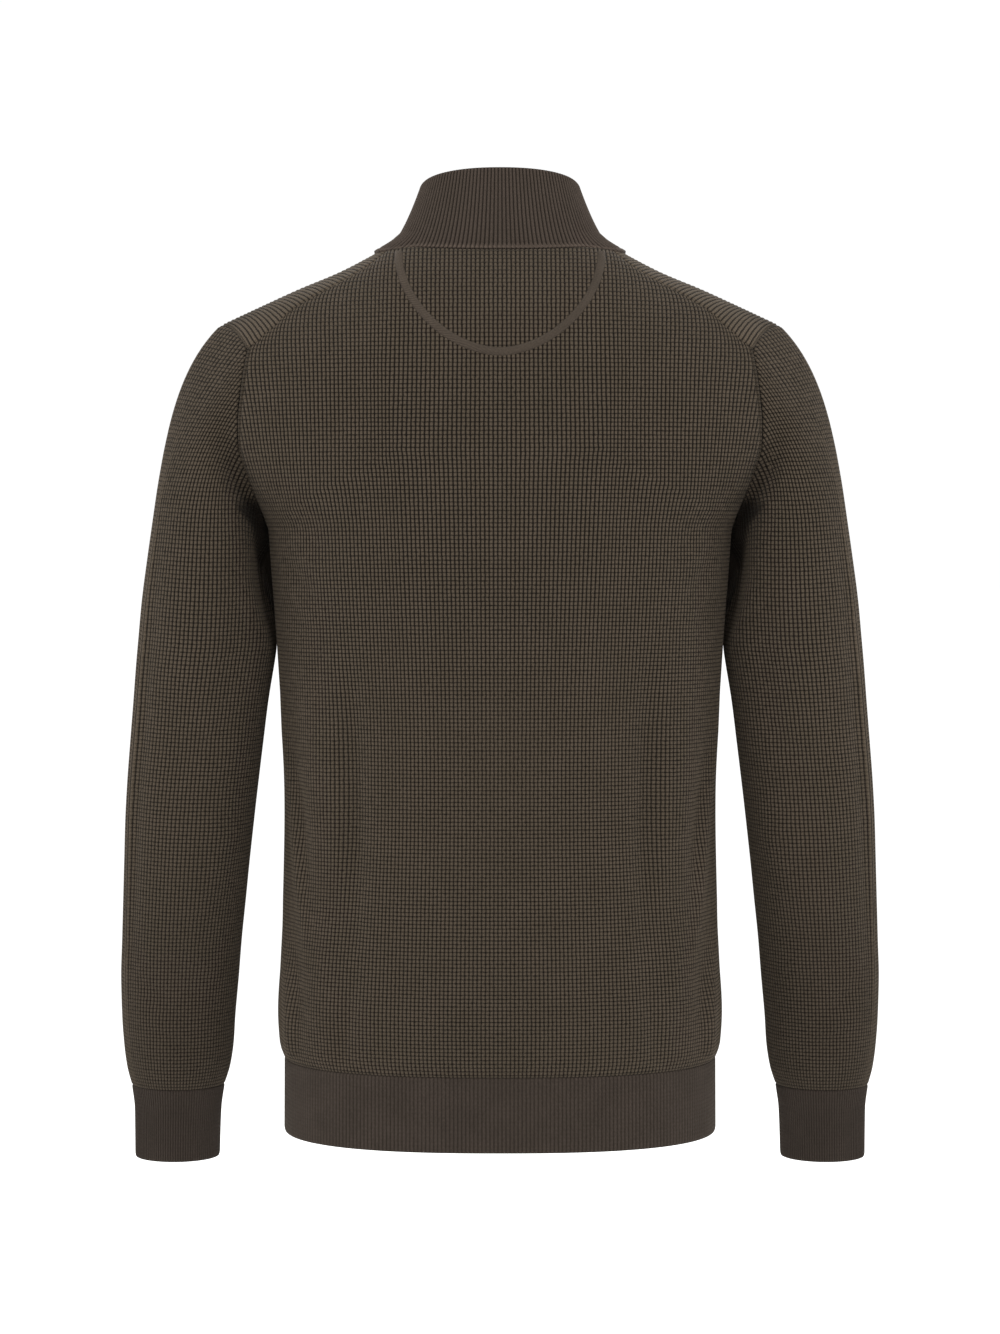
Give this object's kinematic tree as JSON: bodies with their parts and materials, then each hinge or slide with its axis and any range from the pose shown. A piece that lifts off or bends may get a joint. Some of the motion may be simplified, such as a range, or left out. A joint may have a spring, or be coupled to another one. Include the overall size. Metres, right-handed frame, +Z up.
{
  "type": "zip-up cardigan",
  "caption": "Knitted zip-up cardigan with a ribbed stand collar, cuffs and hem and long set-in sleeves, in its worn, hollow form.",
  "frame": {"origin": "middle of the neck opening at the height of the neck seam", "axes": "+Z up, +Y towards the back, +X towards the wearer's left; the front and its zip face -Y"},
  "size_m": [0.5908, 0.2449, 0.7632],
  "materials": {
    "knit": "matt knit",
    "rib": "matt ribbed knit",
    "zip_tape": "woven tape",
    "zip_metal": "dark antique metal"
  },
  "bodies": {
    "garment": {"back_panel": "knit", "front_left": "knit", "front_right": "knit", "sleeve_left": "knit", "sleeve_right": "knit", "collar": "rib", "hem_back": "rib", "hem_front_left": "rib", "hem_front_right": "rib", "cuff_left": "rib", "cuff_right": "rib", "neck_half_moon": "rib", "zip_tape_left": "zip_tape", "zip_tape_right": "zip_tape", "zip_teeth_left": "zip_metal", "zip_teeth_right": "zip_metal", "zip_stop_left": "zip_metal", "zip_stop_right": "zip_metal", "zip_box": "zip_metal", "zip_slider": "zip_metal"},
    "pull_tab": {"zip_pull_tab": "zip_metal"}
  },
  "joints": [
    {"name": "pull_tab_hinge", "type": "hinge", "parent": "garment", "child": "pull_tab", "pos_m": [0, -0.06408, -0.02471], "axis": [-1, 0, 0], "range_deg": [0, 150]}
  ]
}
